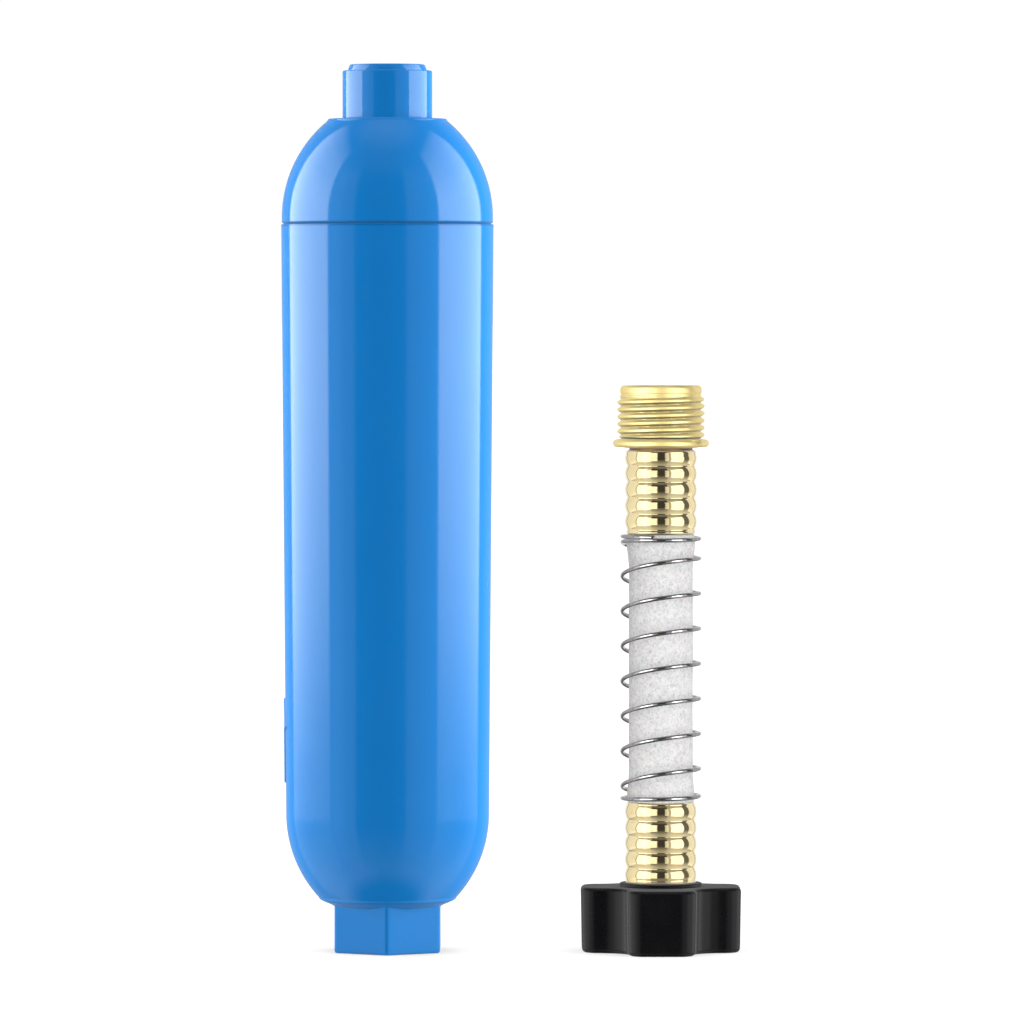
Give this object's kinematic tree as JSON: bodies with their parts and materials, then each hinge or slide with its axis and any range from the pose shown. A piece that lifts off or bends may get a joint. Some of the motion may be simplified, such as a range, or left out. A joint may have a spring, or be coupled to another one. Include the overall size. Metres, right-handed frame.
{
  "type": "inline water filter",
  "caption": "Inline garden-hose water filter: tapered blue cartridge with hex inlet, domed outlet and push-on cap, and a spring-guarded flexible hose protector with a lobed swivel nut.",
  "frame": {"origin": "on the filter cartridge's axis, at the flat end face of its hexagonal inlet boss", "axes": "+Z along the filter from inlet to outlet, +X towards the hose protector's axis, -Y towards the viewer"},
  "size_m": [0.141, 0.0648, 0.2724],
  "materials": {
    "blue_plastic": "gloss",
    "cap_plastic": "gloss",
    "black_rubber": "matte",
    "steel_mesh": "satin",
    "white_plastic": "satin",
    "felt": "matte",
    "kdf_granules": "matte",
    "carbon_granules": "matte",
    "black_plastic": "satin",
    "brass": "polished",
    "hose_inner": "gloss",
    "braid": "satin",
    "hose_outer": "satin",
    "spring_steel": "polished"
  },
  "bodies": {
    "housing": {"housing_body": "blue_plastic", "housing_dome": "blue_plastic", "inlet_washer": "black_rubber", "inlet_screen": "steel_mesh", "inlet_diffuser": "white_plastic", "lower_felt_pad": "felt", "kdf_media_bed": "kdf_granules", "separator_pad": "felt", "carbon_bed": "carbon_granules", "upper_felt_pad": "felt", "outlet_strainer": "white_plastic"},
    "cap": {"outlet_cap": "cap_plastic"},
    "hose_lower_end": {"lower_stem": "brass", "lower_ferrule": "brass"},
    "swivel_nut": {"nut_grip": "black_plastic", "nut_insert": "brass", "hose_washer": "black_rubber"},
    "hose_middle": {"hose_liner": "hose_inner", "hose_braid": "braid", "hose_cover": "hose_outer", "strain_spring": "spring_steel"},
    "hose_upper_end": {"upper_ferrule": "brass", "male_fitting": "brass"}
  },
  "joints": [
    {"name": "cap_lift", "type": "slide", "parent": "housing", "child": "cap", "axis": [0, 0, 1], "range_m": [0, 0.045]},
    {"name": "hose_move", "type": "slide", "parent": "housing", "child": "hose_lower_end", "axis": [1, 0, 0], "range_m": [0, 0.06]},
    {"name": "nut_swivel", "type": "hinge", "parent": "hose_lower_end", "child": "swivel_nut", "pos_m": [0.084, 0, 0.018], "axis": [0, 0, 1], "continuous": true},
    {"name": "bend_lower", "type": "hinge", "parent": "hose_lower_end", "child": "hose_middle", "pos_m": [0.084, 0, 0.06655], "axis": [1, 0, 0], "range_deg": [-30, 30], "stiffness_Nm_per_rad": 1, "deforming": ["hose_liner", "hose_braid", "hose_cover", "strain_spring"]},
    {"name": "bend_upper", "type": "hinge", "parent": "hose_middle", "child": "hose_upper_end", "pos_m": [0.084, 0, 0.10775], "axis": [1, 0, 0], "range_deg": [-30, 30], "stiffness_Nm_per_rad": 1, "deforming": ["hose_liner", "hose_braid", "hose_cover", "strain_spring"]}
  ]
}
